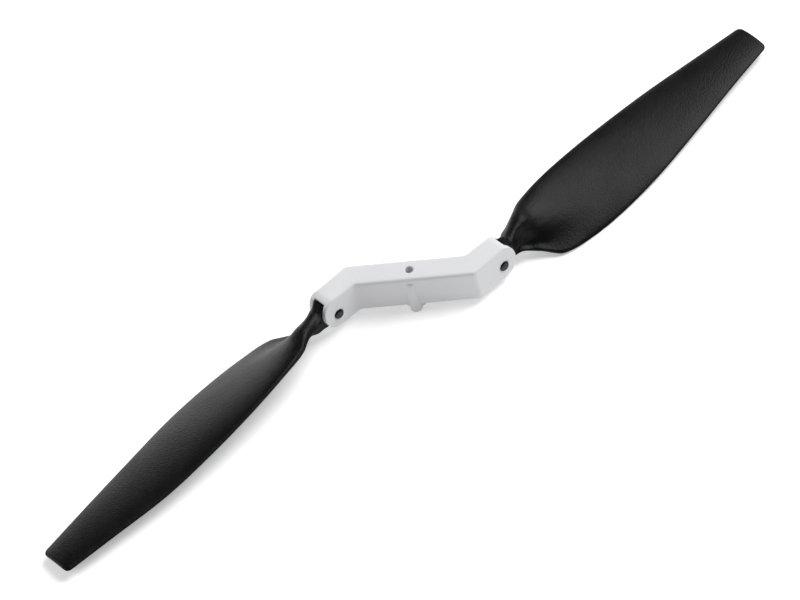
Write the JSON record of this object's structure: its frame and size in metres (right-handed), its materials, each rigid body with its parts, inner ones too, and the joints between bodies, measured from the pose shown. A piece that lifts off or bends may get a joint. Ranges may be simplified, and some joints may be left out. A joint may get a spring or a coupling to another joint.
{
  "type": "folding propeller",
  "caption": "Small folding propeller: twisted blades hinge on pins in the forked ends of an angled plastic hub yoke with a bore for the motor shaft.",
  "frame": {"origin": "centre of the shaft boss's rear face, on the shaft axis", "axes": "+Z forward along the motor shaft, +X along the span towards blade_a, Y along the hinge pins"},
  "size_m": [0.1304, 0.0234, 0.0063],
  "materials": {
    "hub_plastic": "white moulded plastic, satin",
    "blade_plastic": "black moulded plastic, matt with a fine grain",
    "pin_steel": "dark steel, polished ends"
  },
  "bodies": {
    "hub": {"hub_yoke": "hub_plastic", "hinge_pin_a": "pin_steel", "hinge_pin_b": "pin_steel"},
    "folding_blade_a": {"blade_a": "blade_plastic"},
    "folding_blade_b": {"blade_b": "blade_plastic"}
  },
  "joints": [
    {"name": "blade_a_fold", "type": "hinge", "parent": "hub", "child": "folding_blade_a", "pos_m": [0.01048, -0.00608, 0.0032], "axis": [0, 1, 0], "range_deg": [-3, 92]},
    {"name": "blade_b_fold", "type": "hinge", "parent": "hub", "child": "folding_blade_b", "pos_m": [-0.01048, 0.00608, 0.0032], "axis": [0, -1, 0], "range_deg": [-3, 92]}
  ]
}
